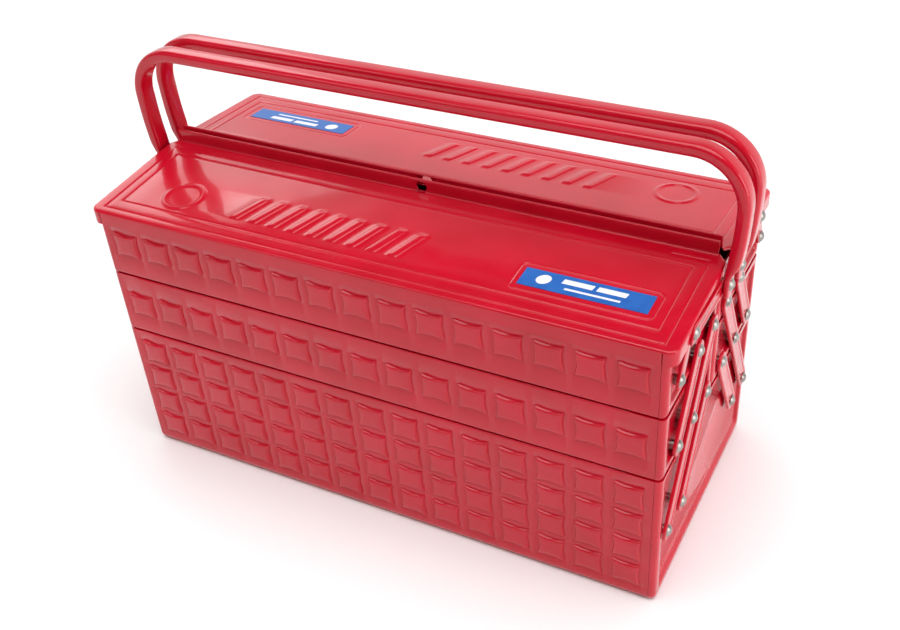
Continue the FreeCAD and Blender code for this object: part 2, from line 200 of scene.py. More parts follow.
# ---- mesh building ------------------------------------------------------
class Skin:
    """Points in millimetres and the faces between them, outer side facing out."""

    def __init__(self):
        self.points = []
        self.faces = []

    def row(self, points):
        start = len(self.points)
        self.points += [tuple(p) for p in points]
        return list(range(start, len(self.points)))

    def face(self, corners):
        self.faces.append(tuple(corners))

    def strip(self, a, b, closed=False):
        count = len(a)
        for i in range(count if closed else count - 1):
            j = (i + 1) % count
            self.face((a[i], a[j], b[j], b[i]))

    def sweep(self, rows, closed=False):
        """Joins rows of points one after another, and returns their indices."""
        indices = [self.row(points) for points in rows]
        for a, b in zip(indices, indices[1:]):
            self.strip(a, b, closed)
        return indices


def make_piece(name, skin, node, body, slot, material,
               thickness=0.0, edge=0.0, even=True, left=False, rear=False):
    """Turns a skin into a piece that stands for one CAD node and moves with its body."""
    sx = -1.0 if left != rear else 1.0
    sy = -1.0 if rear else 1.0
    points = [(x * sx * MM, y * sy * MM, z * MM) for x, y, z in skin.points]
    flipped = sx * sy < 0
    faces = [face[::-1] for face in skin.faces] if flipped else skin.faces
    mesh = bpy.data.meshes.new(name)
    mesh.from_pydata(points, [], faces)
    work = bmesh.new()
    work.from_mesh(mesh)
    bmesh.ops.remove_doubles(work, verts=work.verts, dist=0.01 * MM)
    bmesh.ops.dissolve_degenerate(work, edges=work.edges, dist=0.005 * MM)
    for face in work.faces:
        face.smooth = True
    work.to_mesh(mesh)
    work.free()
    piece = bpy.data.objects.new(name, mesh)
    bpy.context.collection.objects.link(piece)
    mesh.materials.append(material)
    if thickness:
        solid = piece.modifiers.new("sheet", "SOLIDIFY")
        solid.thickness = thickness * MM
        solid.offset = -1.0
        solid.use_even_offset = even
        solid.use_quality_normals = True
        solid.thickness_clamp = 0.0
    if edge:
        bevel = piece.modifiers.new("edges", "BEVEL")
        bevel.width = edge * MM
        bevel.segments = 2
        bevel.limit_method = "ANGLE"
        bevel.angle_limit = math.radians(58)
        bevel.harden_normals = True
    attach(piece, body)
    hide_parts(node)


def spread(start, end, step):
    """Evenly spaced numbers from start to end, about a step apart."""
    count = max(1, round(abs(end - start) / step))
    return [start + (end - start) * i / count for i in range(count + 1)]


def arc(centre, radius, start, end, count):
    """Points on an arc, angles in degrees."""
    points = []
    for i in range(count + 1):
        angle = math.radians(start + (end - start) * i / count)
        points.append((centre[0] + radius * math.cos(angle), centre[1] + radius * math.sin(angle)))
    return points


def tidy_lines(values, gap):
    """Sorted numbers with any that come closer than the gap to the one before left out."""
    kept = []
    for value in sorted(values):
        if not kept or value - kept[-1] > gap:
            kept.append(value)
    return kept


def smooth_step(t):
    t = max(0.0, min(1.0, t))
    return t * t * (3 - 2 * t)


# ---- trays --------------------------------------------------------------
def pad_lines(centres, half):
    """Grid lines that follow the bevels of the pads."""
    lines = []
    for centre in centres:
        for depth, _ in PAD_RISE:
            lines += [centre - half + depth, centre + half - depth]
        lines += [centre - 4.0, centre, centre + 4.0]
    return lines


def pad_centres():
    middle = (PAD_COUNT - 1) / 2
    return [(i - middle) * PAD_PITCH for i in range(PAD_COUNT)]


def rise_at(depth):
    """Height of a pad at a distance inside its outline."""
    for (d0, h0), (d1, h1) in zip(PAD_RISE, PAD_RISE[1:]):
        if depth <= d1:
            return h0 + (h1 - h0) * (depth - d0) / (d1 - d0)
    return PAD_RISE[-1][1]


def embossed(x, z, rows):
    """Where a point of the flat wall goes, and how far out: (x, z, rise)."""
    half_x, half_z = PAD_HALF
    column = max(0, min(PAD_COUNT - 1, round(x / PAD_PITCH + (PAD_COUNT - 1) / 2)))
    cx = (column - (PAD_COUNT - 1) / 2) * PAD_PITCH
    cz = min(rows, key=lambda row: abs(row - z))
    u = (x - cx) / half_x
    v = (z - cz) / half_z
    if abs(u) > 1.0001 or abs(v) > 1.0001:
        return x, z, 0.0
    rise = rise_at(max(0.0, min((1 - abs(u)) * half_x, (1 - abs(v)) * half_z)))
    waist_x = PAD_WAIST * (1 - v * v)
    waist_z = PAD_WAIST * (1 - u * u)
    return cx + u * (half_x - waist_x), cz + v * (half_z - waist_z), rise


def wall_heights(z0, z1, rows, bend):
    """Heights of a long wall's grid lines, from its bend up to its hem."""
    lines = [z0 + bend, z1 - HEM_R]
    if rows:
        lines += pad_lines(rows, PAD_HALF[1])
        lines += [(a + b) / 2 for a, b in zip(rows, rows[1:])]
    else:
        lines += spread(z0 + bend, z1 - HEM_R, 14)
    return tidy_lines(lines, WALL_LINE_GAP)


def tray_shell(y0, y1, z0, z1, bend, front_pads, rear_pads):
    """Folded sheet of both long walls and the floor, with hems and turned-in ends."""
    skin = Skin()
    xs = pad_lines(pad_centres(), PAD_HALF[0])
    xs += [x + PAD_PITCH / 2 for x in pad_centres()[:-1]]
    xs += [-SHELL_X, -RETURN_X, RETURN_X, SHELL_X]
    xs = tidy_lines(xs, WALL_LINE_GAP)
    inside = [i for i, x in enumerate(xs) if abs(x) <= RETURN_X + 0.01]

    def level(y, z):
        return [(x, y, z) for x in xs]

    def wall_row(y, z, side, pads):
        if not pads:
            return level(y, z)
        points = []
        for x in xs:
            px, pz, rise = embossed(x, z, pads)
            points.append((px, y + side * rise, pz))
        return points

    def hem_rows(y, side):
        """From the hem's lower edge, up its inner face and over the fold."""
        rows = [level(y - side * 2 * HEM_R, z) for z in (z1 - HEM, z1 - HEM / 2)]
        for a, b in arc((0, z1 - HEM_R), HEM_R, 180, 0, 6):
            rows.append(level(y - side * (HEM_R - a), b))
        return rows

    rear_heights = wall_heights(z0, z1, rear_pads, bend)[::-1]
    front_heights = wall_heights(z0, z1, front_pads, bend)
    rows = [wall_row(y1, z, 1, rear_pads) for z in rear_heights]
    rows += [level(y, z) for y, z in arc((y1 - bend, z0 + bend), bend, 0, -90, 6)[1:]]
    rows += [level(y, z0) for y in spread(y1 - bend, y0 + bend, 20)[1:-1]]
    rows += [level(y, z) for y, z in arc((y0 + bend, z0 + bend), bend, -90, -180, 6)[:-1]]
    rows += [wall_row(y0, z, -1, front_pads) for z in front_heights]
    body = skin.sweep(rows)
    for wall, y, side in ((body[0], y1, 1), (body[-1], y0, -1)):
        hem = [skin.row(points) for points in hem_rows(y, side)]
        if side < 0:
            hem = hem[::-1]
        for a, b in zip(hem, hem[1:]):
            skin.strip([a[i] for i in inside], [b[i] for i in inside])
        top = skin.row(level(y, z1))
        for ends in ([i for i, x in enumerate(xs) if x <= -RETURN_X + 0.01],
                     [i for i, x in enumerate(xs) if x >= RETURN_X - 0.01]):
            a = [top[i] for i in ends]
            b = [wall[i] for i in ends]
            skin.strip(*((a, b) if side > 0 else (b, a)))
    for mirror in (1, -1):
        rings = end_return(y0, y1, z0, z1, bend)
        rings = [[(x * mirror, y, z) for x, y, z in ring] for ring in rings]
        skin.sweep(rings[::-mirror])
    return drop_loose(skin)


def drop_loose(skin):
    """Leaves out points that no face uses."""
    used = sorted({i for face in skin.faces for i in face})
    place = {old: new for new, old in enumerate(used)}
    skin.points = [skin.points[i] for i in used]
    skin.faces = [tuple(place[i] for i in face) for face in skin.faces]
    return skin


def fixed_u(x, y0, y1, z0, side, foot, top, radius, counts):
    """U of a fixed number of points: down the rear wall, along the floor and up the front wall."""
    ya = y0 + side
    yb = y1 - side
    zb = z0 + foot
    walls, floor = counts
    points = [(x, yb, z) for z in (top + (zb + radius - top) * i / walls for i in range(walls))]
    points += [(x, y, z) for y, z in arc((yb - radius, zb + radius), radius, 0, -90, 6)]
    points += [(x, yb - radius + (ya - yb + 2 * radius) * i / floor, zb) for i in range(1, floor)]
    points += [(x, y, z) for y, z in arc((ya + radius, zb + radius), radius, -90, -180, 6)]
    points += [(x, ya, zb + radius + (top - zb - radius) * i / walls) for i in range(1, walls + 1)]
    return points


def rolled_end(start_x, y0, y1, z0, z1, bend, inset, steps, counts):
    """Rings from the flange round the rolled rim of the right-hand end, an inset inside its skin."""
    rings = [fixed_u(x, y0, y1, z0, inset, inset, z1, bend - inset, counts)
             for x in (start_x, HALF_LENGTH - END_BEND)]
    for a, b in arc((0, 0), END_BEND - inset, 90, 0, steps)[1:]:
        step = END_BEND - b
        x = HALF_LENGTH - END_BEND + a
        radius = max(bend - step, TIGHT_BEND)
        rings.append(fixed_u(x, y0, y1, z0, step, step, z1, radius, counts))
    return rings


def end_return(y0, y1, z0, z1, bend):
    """Second layer of the folded sheet behind the right-hand end plate."""
    counts = (5, 6)
    inset = SHEET + RETURN_GAP
    rings = rolled_end(RETURN_X, y0, y1, z0, z1, bend, inset, 5, counts)
    margin = 1.2
    side = DISH_SIDE - margin
    foot = DISH_FOOT - margin
    rings.append(fixed_u(HALF_LENGTH - inset, y0, y1, z0, side, foot, z1, margin, counts))
    return rings


def tray_end(y0, y1, z0, z1, bend, foot_slope):
    """Right-hand end plate: lapped flange, rolled corner and dished panel."""
    skin = Skin()
    counts = (8, 12)
    rings = rolled_end(FLANGE_X, y0, y1, z0, z1, bend, 0, 6, counts)
    indices = skin.sweep(rings[::-1])[::-1]
    heads = 10

    def head(x, y_front, y_rear, z):
        return [(x, y_front + (y_rear - y_front) * i / heads, z) for i in range(1, heads)]

    rim = rings[-1]
    loops = [indices[-1] + skin.row(head(HALF_LENGTH, rim[-1][1], rim[0][1], z1))]
    slope = ((-1.1, 0.0), (-0.7, 0.12), (-0.3, 0.5), (0.1, 0.88), (0.5, 1.0))
    start = slope[0][0]
    for way, part in slope:
        x = HALF_LENGTH - (HALF_LENGTH - DISH_X) * part
        foot = DISH_FOOT + start + (way - start) * foot_slope
        top = z1 - DISH_HEAD - way
        ring = fixed_u(x, y0, y1, z0, DISH_SIDE + way, foot, top, DISH_CORNER + way, counts)
        ring += head(x, ring[-1][1], ring[0][1], top)
        loops.append(skin.row(ring))
    for a, b in zip(loops, loops[1:]):
        skin.strip(b, a, closed=True)
    skin.face(loops[-1][::-1])
    return skin


# ---- links, arms and brackets -------------------------------------------
def stadium(a, b, radius, count=10):
    """Outline of a bar with round ends, as (y, z), going round from a to b and back."""
    angle = math.degrees(math.atan2(b[1] - a[1], b[0] - a[0]))
    points = arc(b, radius, angle - 90, angle + 90, count)
    points += arc(a, radius, angle + 90, angle + 270, count)
    return points


def channel_link(a, b):
    """Channel link with softly rolled sides and a pressed web."""
    skin = Skin()
    x0, x1 = LINK_X
    web = x1 - LINK_WEB
    profile = [(0.0, x0), (0.0, x1 - 0.8), (0.12, x1 - 0.4), (0.4, x1 - 0.12), (0.8, x1)]
    profile += [(2.1, x1), (2.5, x1 - 0.1), (2.9, web + 0.1), (3.3, web), (5.0, web)]
    rows = [[(x, y, z) for y, z in stadium(a, b, LINK_HALF - inset)] for inset, x in profile]
    indices = skin.sweep(rows, closed=True)
    skin.face(indices[-1])
    return skin


def plate(x0, x1, outline, rim=0.0):
    """Flat plate with rounded edges. outline(inset) gives its points. Its web is sunk by rim."""
    skin = Skin()
    edge = 0.35
    profile = [(edge, x0), (0.1, x0 + 0.1), (0.0, x0 + edge)]
    profile += [(0.0, x1 - edge), (0.1, x1 - 0.1), (edge, x1)]
    if rim:
        profile += [(1.5, x1), (1.8, x1 - 0.1), (2.1, x1 - rim + 0.1), (2.4, x1 - rim)]
    rows = [[(x, y, z) for y, z in outline(inset)] for inset, x in profile]
    indices = skin.sweep(rows, closed=True)
    skin.face(indices[0][::-1])
    skin.face(indices[-1])
    return skin


def hinge_arm_outline(inset):
    return stadium(LID_PIVOT, ARM_RIVET, HINGE_ARM_HALF - inset)


def bracket_outline(inset):
    """Bar to the handle's foot, pointed beyond the arm rivet."""
    half = BRACKET_HALF - inset
    y, z = ARM_RIVET
    tip = y - BRACKET_TIP + inset
    angle = math.degrees(math.atan2(HANDLE_PIVOT[1] - z, HANDLE_PIVOT[0] - y))
    points = arc(HANDLE_PIVOT, half, angle - 90, angle + 90, 12)
    points += [(y, z + half), (y - 2.5 + inset * 0.4, z + half * 0.62)]
    points += [(tip + 0.6, z - 0.2), (tip, z - 1)]
    points += [(tip, z - half + 0.8), (tip + 0.8, z - half), (y, z - half)]
    return points


# ---- lids ---------------------------------------------------------------
def lid_z(y):
    """Height of the lid's sloping plane."""
    return LID_EDGE_Z + LID_SLOPE * (y - LID_OUTER_Y)


def distance_to(x, y, line):
    """Distance from a point to a straight crease."""
    x0, y0, x1, y1 = line
    dx = x1 - x0
    dy = y1 - y0
    t = ((x - x0) * dx + (y - y0) * dy) / (dx * dx + dy * dy)
    t = max(0.0, min(1.0, t))
    return math.hypot(x - x0 - t * dx, y - y0 - t * dy)


def frame_distance(x, y):
    """Distance from the rounded outline round the label."""
    x0, y0, x1, y1 = LABEL_FRAME
    dx = abs(x - (x0 + x1) / 2) - (x1 - x0) / 2 + FRAME_CORNER
    dy = abs(y - (y0 + y1) / 2) - (y1 - y0) / 2 + FRAME_CORNER
    outside = math.hypot(max(dx, 0), max(dy, 0))
    return abs(outside + min(max(dx, dy), 0) - FRAME_CORNER)


def rib_rise(x, y):
    """Height of the row of ribs, in the grid's upright coordinates."""
    pitch = (RIB_X[1] - RIB_X[0]) / RIB_COUNT
    index = max(0, min(RIB_COUNT - 1, int((x - RIB_X[0]) // pitch)))
    centre = RIB_X[0] + pitch * (index + 0.5)
    inside_x = RIB_WIDTH / 2 - abs(x - centre)
    inside_y = (RIB_Y[1] - RIB_Y[0]) / 2 - abs(y - sum(RIB_Y) / 2)
    return RIB_HEIGHT * smooth_step(min(inside_x, inside_y) / RIB_BEVEL)


def ring_rise(x, y):
    """Height of the plain ring."""
    radius = math.hypot(x - RING_CENTRE[0], y - RING_CENTRE[1])
    middle = sum(RING_R) / 2
    half = (RING_R[1] - RING_R[0]) / 2
    return RIB_HEIGHT * smooth_step((half + 0.4 - abs(radius - middle)) / RIB_BEVEL)


def crease_paths():
    """Every straight crease, as (x0, y0, x1, y1)."""
    x0, y0, x1, y1 = INNER_FRAME
    paths = [(x0, y0, x1, y0), (x1, y0, x1, y1), (x1, y1, x0, y1), (x0, y1, x0, y0)]
    x0, y0, x1, y1 = OUTER_FRAME
    paths += [(x0, y0, x1, y0), (x1, y0, x1, y1), (x0, y0, x0, y1)]
    x, y = END_CREASE
    return paths + [(x0, y, -x, y), (x1, y, x, y)]


CREASES = crease_paths()


def lid_relief(x, y):
    """Height of the stamping over the lid's plane."""
    groove = 0.0
    for line in CREASES:
        d = distance_to(x, y, line) / CREASE_WIDTH
        if d < 3:
            groove = max(groove, math.exp(-d * d))
    d = frame_distance(x, y) / CREASE_WIDTH
    if d < 3:
        groove = max(groove, 0.8 * math.exp(-d * d))
    return rib_rise(x, y) + ring_rise(x, y) - CREASE_DEPTH * groove


def lean(x, y):
    """Sideways lean that slants the ribs and fades out beside them."""
    fade = smooth_step((x - RIB_X[0] + 14) / 12) * smooth_step((RIB_X[1] + 14 - x) / 12)
    rise = y - sum(RIB_Y) / 2
    reach = (RIB_Y[1] - RIB_Y[0]) / 2 + 1
    if abs(rise) > reach:
        rise = math.copysign(reach * (1 - smooth_step((abs(rise) - reach) / 7)), rise)
    return RIB_LEAN * fade * rise


def crease_lines(centre):
    """Grid lines across one crease."""
    return [centre + CREASE_WIDTH * k for k in (-2.2, -1.3, -0.6, 0.0, 0.6, 1.3, 2.2)]


def rib_lines():
    """Grid lines along both bevels of every rib."""
    pitch = (RIB_X[1] - RIB_X[0]) / RIB_COUNT
    lines = []
    for i in range(RIB_COUNT):
        centre = RIB_X[0] + pitch * (i + 0.5)
        for k in (0.0, 0.33, 0.67, 1.0):
            reach = RIB_WIDTH / 2 - RIB_BEVEL * k
            lines += [centre - reach, centre + reach]
        lines += [centre + pitch / 2]
    return lines


def side_inset(y):
    """How far the lid's end comes in at its chamfered inner corner."""
    return max(0.0, y - CHAMFER_Y)


def snap_to(values, targets):
    """Moves the nearest line onto each target."""
    values = list(values)
    for target in targets:
        nearest = min(range(len(values)), key=lambda i: abs(values[i] - target))
        values[nearest] = target
    return sorted(values)


def lid_columns():
    """The lid's grid lines from end to end, close together where it is stamped."""
    exact = [RIM_X, CORNER_X, (RIM_X + CORNER_X) / 2, FLANGE_HALF, PADLOCK_PATCH, 0.0, 3.0]
    exact += SKIRT_SLIT
    lines = exact + [201.0]
    for x in (OUTER_FRAME[2], INNER_FRAME[2], END_CREASE[0]):
        lines += crease_lines(x)
    lines += [-x for x in lines]
    lines += spread(RING_CENTRE[0] - 18, RING_CENTRE[0] + 18, 1.1)
    lines += rib_lines() + spread(34, 95, 9) + spread(102, 185, 6)
    for x, inwards in ((LABEL_FRAME[0], 1), (LABEL_FRAME[2], -1)):
        lines += crease_lines(x) + spread(x, x + inwards * FRAME_CORNER, 0.8)
    return snap_to(tidy_lines(lines, LINE_GAP), [side * x for x in exact for side in (-1, 1)])


def lid_rows():
    """The lid's grid lines from the front rim to the foot of the flange."""
    lines = [RIM_Y, (RIM_Y + CORNER_Y) / 2, CORNER_Y, CHAMFER_Y, FLANGE_START_Y]
    for y in (OUTER_FRAME[1], END_CREASE[1], *INNER_FRAME[1::2], *LABEL_FRAME[1::2]):
        lines += crease_lines(y)
    lines += spread(RING_CENTRE[1] - 17, RING_CENTRE[1] + 17, 1.15)
    lines += spread(-45, -23, 5.5) + [-89.0, -17.0, -8.5]
    lines = [y for y in lines if y > RIM_Y - 0.01]
    return snap_to(tidy_lines(lines, LINE_GAP), [RIM_Y, CORNER_Y, CHAMFER_Y, FLANGE_START_Y])


def lid_point(x, y):
    """Point of the lid's top. Beyond the flange the chamfer draws the columns together."""
    across = x + lean(x, y)
    beyond = abs(x) - FLANGE_HALF
    if beyond > 0:
        room = RIM_X - side_inset(y) * CHAMFER_PULL - FLANGE_HALF
        across = math.copysign(FLANGE_HALF + beyond * room / (RIM_X - FLANGE_HALF), x)
    return across, y, lid_z(y) + lid_relief(x, y)


def add_hole(skin, edge, height):
    """Round padlock hole inside a closed run of points, with two rim points for each of them."""
    angles = [math.atan2(skin.points[i][2] - height, skin.points[i][0]) for i in edge]
    turns = []
    for i, angle in enumerate(angles):
        step = (angles[(i + 1) % len(angles)] - angle) % (2 * math.pi)
        turns += [angle, angle + step / 2]
    rim = [(PADLOCK_R * math.cos(a), LID_INNER_Y, height + PADLOCK_R * math.sin(a)) for a in turns]
    ring = skin.row(rim)
    for i in range(len(edge)):
        j = (i + 1) % len(edge)
        skin.face((edge[i], edge[j], ring[2 * j], ring[2 * i + 1], ring[2 * i]))


def add_flange(skin, xs, last):
    """Upturned flange on a row of the lid's top: bent foot, padlock hole and folded upper edge."""
    foot = lid_z(LID_INNER_Y)
    crest = foot + FLANGE_HEIGHT
    left = [k for k, x in enumerate(xs) if x <= 0.01 - PADLOCK_PATCH]
    right = [k for k, x in enumerate(xs) if x >= PADLOCK_PATCH - 0.01]

    def level(y, z):
        return skin.row([(x, y, z) for x in xs])

    def beside_hole(a, b):
        for part in (left, right):
            skin.strip([a[k] for k in part], [b[k] for k in part])

    bend = [(FLANGE_BEND_Y, lid_z(FLANGE_BEND_Y) + 0.06), (-4.95, foot + 0.3), (-4.6, foot + 0.8),
            (LID_INNER_Y, foot + 1.5)]
    for y, z in bend:
        row = level(y, z)
        skin.strip(last, row)
        last = row
    middle = level(LID_INNER_Y, foot + PADLOCK_RISE)
    top = level(LID_INNER_Y, crest - FLANGE_FOLD)
    beside_hole(last, middle)
    beside_hole(middle, top)
    fold = [top]
    for y, z in arc((LID_INNER_Y + FLANGE_FOLD, crest - FLANGE_FOLD), FLANGE_FOLD, 180, 0, 6)[1:]:
        fold.append(level(y, z))
    for a, b in zip(fold, fold[1:]):
        skin.strip(a, b)
    beside_hole(fold[-1], level(LID_INNER_Y + 2 * FLANGE_FOLD, crest - FLANGE_HEM))
    hole_span = range(left[-1], right[0] + 1)
    edge = [last[k] for k in hole_span] + [middle[right[0]]]
    edge += [top[k] for k in reversed(hole_span)] + [middle[left[-1]]]
    add_hole(skin, edge, foot + PADLOCK_RISE)


def corner_angle(x, y):
    """Angle round the lid's corner for a point of the rim's square inner corner, 0 on the end."""
    along = (CORNER_Y - y) + (RIM_X - x)
    whole = (CORNER_Y - RIM_Y) + (RIM_X - CORNER_X)
    return math.radians(90) * along / whole


def outline_point(x, y, inset):
    """Point inset from the lid's outline, beside a point of the rim's inner line."""
    on_end = abs(x) > RIM_X - 0.01
    at_corner = y < CORNER_Y - 0.01 if on_end else abs(x) > CORNER_X + 0.01
    side = math.copysign(1.0, x)
    if at_corner:
        angle = corner_angle(abs(x), y)
        radius = LID_CORNER - inset
        return side * (CORNER_X + radius * math.cos(angle)), CORNER_Y - radius * math.sin(angle)
    if on_end:
        drawn = side_inset(y)
        return side * (LID_HALF - drawn - inset * (1 - 0.75 * drawn / LID_CHAMFER)), y
    return x, LID_OUTER_Y + inset


def skirt_depth(y):
    """Depth of the skirt under the rolled edge. It runs out before the handle's foot."""
    whole = LID_SKIRT - LID_EDGE_R
    return SKIRT_STUB + (whole - SKIRT_STUB) * smooth_step((SKIRT_END_Y - y) / 2.5)


def add_rim(skin, xs, ys):
    """Rolled edge and skirt, from the right-hand end round the front to the left-hand end."""
    path = [(RIM_X, y) for y in reversed(ys)]
    path += [(x, RIM_Y) for x in reversed(xs[1:-1])]
    path += [(-RIM_X, y) for y in ys]
    rows = [skin.row([lid_point(x, y) for x, y in path])]
    for degrees in (0.0, 22.5, 45.0, 67.5, 90.0):
        inset = LID_EDGE_R * (1 - math.sin(math.radians(degrees)))
        down = LID_EDGE_R * (1 - math.cos(math.radians(degrees)))
        edge = [outline_point(x, y, inset) for x, y in path]
        rows.append(skin.row([(x, y, lid_z(y) - down) for x, y in edge]))
    edge = [outline_point(x, y, 0.0) for x, y in path]
    for part in (0.5, 1.0):
        points = [(x, y, lid_z(y) - LID_EDGE_R - skirt_depth(y) * part) for x, y in edge]
        rows.append(skin.row(points))
    rolled = rows[:6]
    skirt = rows[5:]
    for a, b in zip(rolled, rolled[1:]):
        skin.strip(a, b)
    for a, b in zip(skirt, skirt[1:]):
        for i in range(len(a) - 1):
            middle = abs(edge[i][0] + edge[i + 1][0]) / 2
            if not SKIRT_SLIT[0] < middle < SKIRT_SLIT[1]:
                skin.face((a[i], a[i + 1], b[i + 1], b[i]))


def lid_panel():
    """Lid: stamped sloping top, upturned flange with its padlock hole, rolled edge and skirt."""
    skin = Skin()
    xs = lid_columns()
    ys = lid_rows()
    grid = skin.sweep([[lid_point(x, y) for x in xs] for y in ys])
    span = [i for i, x in enumerate(xs) if abs(x) <= FLANGE_HALF + 0.01]
    add_flange(skin, [xs[i] for i in span], [grid[-1][i] for i in span])
    beyond_grid = [FLANGE_BEND_Y, LID_INNER_Y + SHEET]
    for side in (-1, 1):
        end = [i for i, x in enumerate(xs) if x * side >= FLANGE_HALF - 0.01]
        last = [grid[-1][i] for i in end]
        for y in beyond_grid:
            row = skin.row([lid_point(xs[i], y) for i in end])
            skin.strip(last, row)
            last = row
    add_rim(skin, xs, ys + beyond_grid)
    return skin


# ---- handles ------------------------------------------------------------
def tube_section(thick, wide, radius, count=4):
    """Rounded rectangle as (across, along Y) about its own middle, going round once."""
    a = thick / 2 - radius
    b = wide / 2 - radius
    points = []
    for cx, cy, start in ((a, b, 0), (-a, b, 90), (-a, -b, 180), (a, -b, 270)):
        points += arc((cx, cy), radius, start, start + 90, count)
    return points


def handle_half():
    """Sections up the right-hand leg and along half the run: x, z, lean, thickness, width, corner."""
    end_r = TUBE_WIDE / 2
    foot_thick = FOOT_X[1] - FOOT_X[0]
    foot_mid = (FOOT_X[0] + FOOT_X[1]) / 2
    narrowest = 1.4
    half = []
    for degrees in (84, 68, 50, 32, 15, 0):
        a = math.radians(degrees)
        z = FOOT_END + end_r - end_r * math.sin(a)
        wide = max(2 * end_r * math.cos(a), narrowest)
        half.append((foot_mid, z, 0.0, foot_thick, wide, min(FOOT_R, wide * 0.3)))
    half.append((foot_mid, 208.0, 0.0, foot_thick, TUBE_WIDE, FOOT_R))
    low, high = SWELL_Z
    for z in (212.5, 214.5, 216.5, 218.5, 220.5, 223.0, high):
        t = smooth_step((z - low) / (high - low))
        thick = foot_thick + (TUBE_THICK - foot_thick) * t
        outer = FOOT_X[1] + (HANDLE_X - SWELL_DRAWN - FOOT_X[1]) * t
        half.append((outer - thick / 2, z, 0.0, thick, TUBE_WIDE, FOOT_R + (TUBE_R - FOOT_R) * t))
    tube = (TUBE_THICK, TUBE_WIDE, TUBE_R)
    for z, drawn in ((230.0, 2.1), (236.0, 1.35), (242.0, 0.8), (252.0, 0.25)):
        half.append((HANDLE_X - drawn - TUBE_THICK / 2, z, 0.0, *tube))
    bend_x = HANDLE_X - HANDLE_BEND
    bend_z = HANDLE_TOP - HANDLE_BEND
    for x, z in arc((bend_x, bend_z), HANDLE_BEND - TUBE_THICK / 2, 0, 90, 16):
        half.append((x, z, math.atan2(z - bend_z, x - bend_x), *tube))
    for x in (120.0, 40.0):
        half.append((x, HANDLE_TOP - TUBE_THICK / 2, math.pi / 2, *tube))
    return half


def handle():
    """Bow of oval tube: flattened feet, legs that draw in, and one long flat run."""
    skin = Skin()
    y = HANDLE_PIVOT[0]
    rows = []
    half = handle_half()
    other = [(-x, z, math.pi - angle, *section) for x, z, angle, *section in reversed(half)]
    for x, z, angle, thick, wide, radius in half + other:
        ring = []
        for across, along in tube_section(thick, wide, radius):
            ring.append((x + across * math.cos(angle), y + along, z + across * math.sin(angle)))
        rows.append(ring)
    indices = skin.sweep(rows, closed=True)
    skin.face(indices[0][::-1])
    skin.face(indices[-1])
    return skin


# ---- materials ----------------------------------------------------------
def new_material(name):
    material = bpy.data.materials.new(name)
    material.use_nodes = True
    nodes = material.node_tree.nodes
    links = material.node_tree.links
    return material, nodes, links, nodes["Principled BSDF"]


def add_noise(nodes, links, source, scale, detail, roughness=0.5):
    noise = nodes.new("ShaderNodeTexNoise")
    noise.inputs["Scale"].default_value = scale
    noise.inputs["Detail"].default_value = detail
    noise.inputs["Roughness"].default_value = roughness
    links.new(source, noise.inputs["Vector"])
    return noise


def add_ramp(nodes, links, factor, low, high, start, end):
    ramp = nodes.new("ShaderNodeValToRGB")
    ramp.color_ramp.elements[0].position = start
    ramp.color_ramp.elements[0].color = low
    ramp.color_ramp.elements[1].position = end
    ramp.color_ramp.elements[1].color = high
    links.new(factor, ramp.inputs["Fac"])
    return ramp


def add_range(nodes, links, value, low, high):
    remap = nodes.new("ShaderNodeMapRange")
    remap.inputs["From Min"].default_value = 0.3
    remap.inputs["From Max"].default_value = 0.7
    remap.inputs["To Min"].default_value = low
    remap.inputs["To Max"].default_value = high
    links.new(value, remap.inputs["Value"])
    return remap


def add_bump(nodes, links, height, distance, strength, normal=None):
    bump = nodes.new("ShaderNodeBump")
    bump.inputs["Distance"].default_value = distance
    bump.inputs["Strength"].default_value = strength
    links.new(height, bump.inputs["Height"])
    if normal is not None:
        links.new(normal, bump.inputs["Normal"])
    return bump


def red_enamel():
    """Glossy baked enamel: orange peel, slow waviness of thin sheet, slight thick and thin places."""
    material, nodes, links, shader = new_material("red_enamel")
    place = nodes.new("ShaderNodeTexCoord").outputs["Object"]
    tone = add_noise(nodes, links, place, 22.0, 3.0)
    colour = add_ramp(nodes, links, tone.outputs["Fac"],
                      (0.545, 0.0022, 0.017, 1), (0.615, 0.0038, 0.024, 1), 0.35, 0.65)
    links.new(colour.outputs["Color"], shader.inputs["Base Color"])
    haze = add_noise(nodes, links, place, 60.0, 5.0, 0.6)
    rough = add_range(nodes, links, haze.outputs["Fac"], 0.18, 0.27)
    links.new(rough.outputs["Result"], shader.inputs["Roughness"])
    peel = add_noise(nodes, links, place, 420.0, 2.0)
    wave = add_noise(nodes, links, place, 17.0, 1.0)
    slow = add_bump(nodes, links, wave.outputs["Fac"], 0.0016, 0.5)
    fine = add_bump(nodes, links, peel.outputs["Fac"], 0.00002, 0.5, slow.outputs["Normal"])
    links.new(fine.outputs["Normal"], shader.inputs["Normal"])
    links.new(slow.outputs["Normal"], shader.inputs["Coat Normal"])
    shader.inputs["Coat Weight"].default_value = 0.45
    shader.inputs["Coat Roughness"].default_value = 0.06
    shader.inputs["Coat IOR"].default_value = 1.5
    shader.inputs["Specular IOR Level"].default_value = 0.25
    return material


